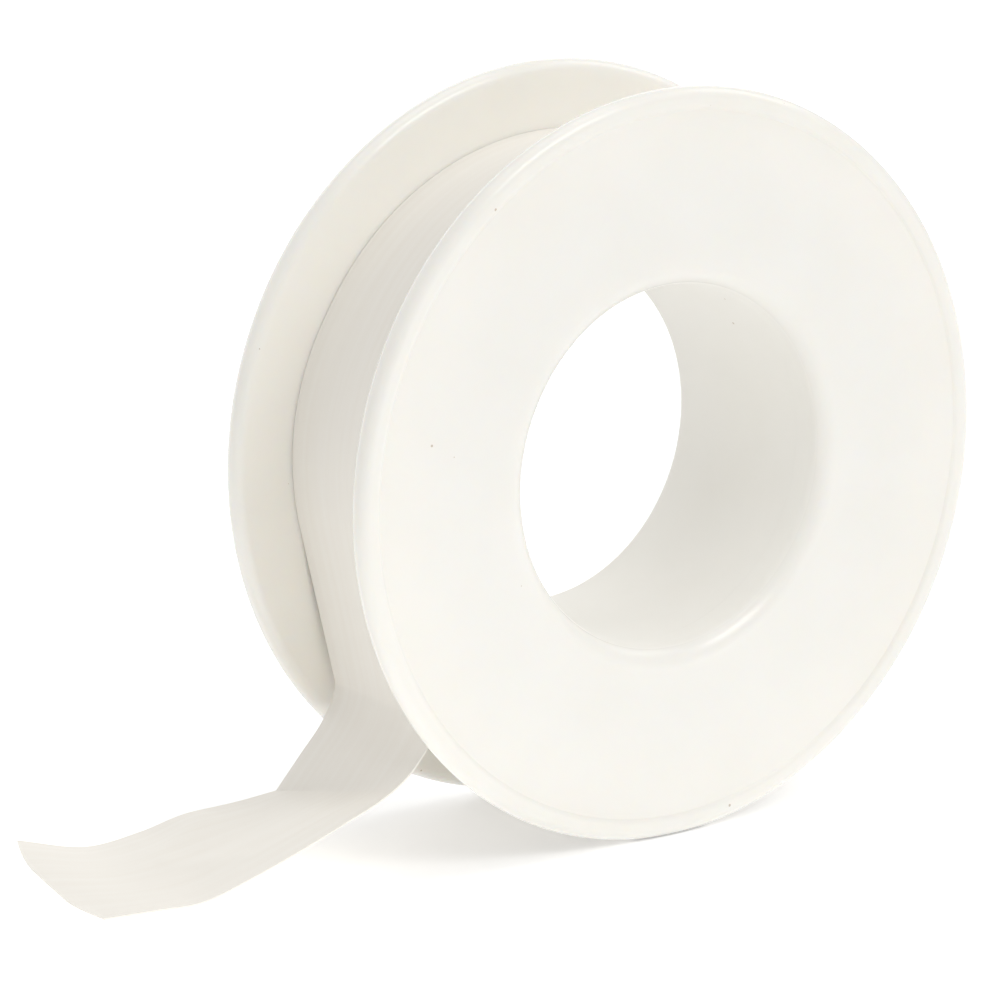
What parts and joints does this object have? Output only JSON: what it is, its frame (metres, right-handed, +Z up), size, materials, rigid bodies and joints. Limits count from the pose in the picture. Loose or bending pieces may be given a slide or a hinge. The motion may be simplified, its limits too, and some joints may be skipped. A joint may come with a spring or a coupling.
{
  "type": "thread seal tape roll",
  "caption": "White plastic spool of two snap-together flanged halves, wound with thin white thread seal tape whose free end is pulled off the roll.",
  "frame": {"origin": "centre of the bore, midway between the two flanges", "axes": "+Y along the spool axis from the front flange to the rear flange, +Z up with the roll standing on its rims, -X towards the free end of the tape"},
  "size_m": [0.0667, 0.0176, 0.05],
  "materials": {
    "spool_plastic": "moulded natural white polyethylene, waxy semi-gloss",
    "tape_film": "thin matte white film"
  },
  "bodies": {
    "spool": {"front_spool_half": "spool_plastic", "rear_spool_half": "spool_plastic", "tape_roll": "tape_film"},
    "tape_end": {"tape_outer_turn": "tape_film", "tape_tail": "tape_film"}
  },
  "joints": [
    {"name": "tape_unwind", "type": "hinge", "parent": "spool", "child": "tape_end", "pos_m": [0, 0, 0], "axis": [0, 1, 0], "continuous": true}
  ]
}
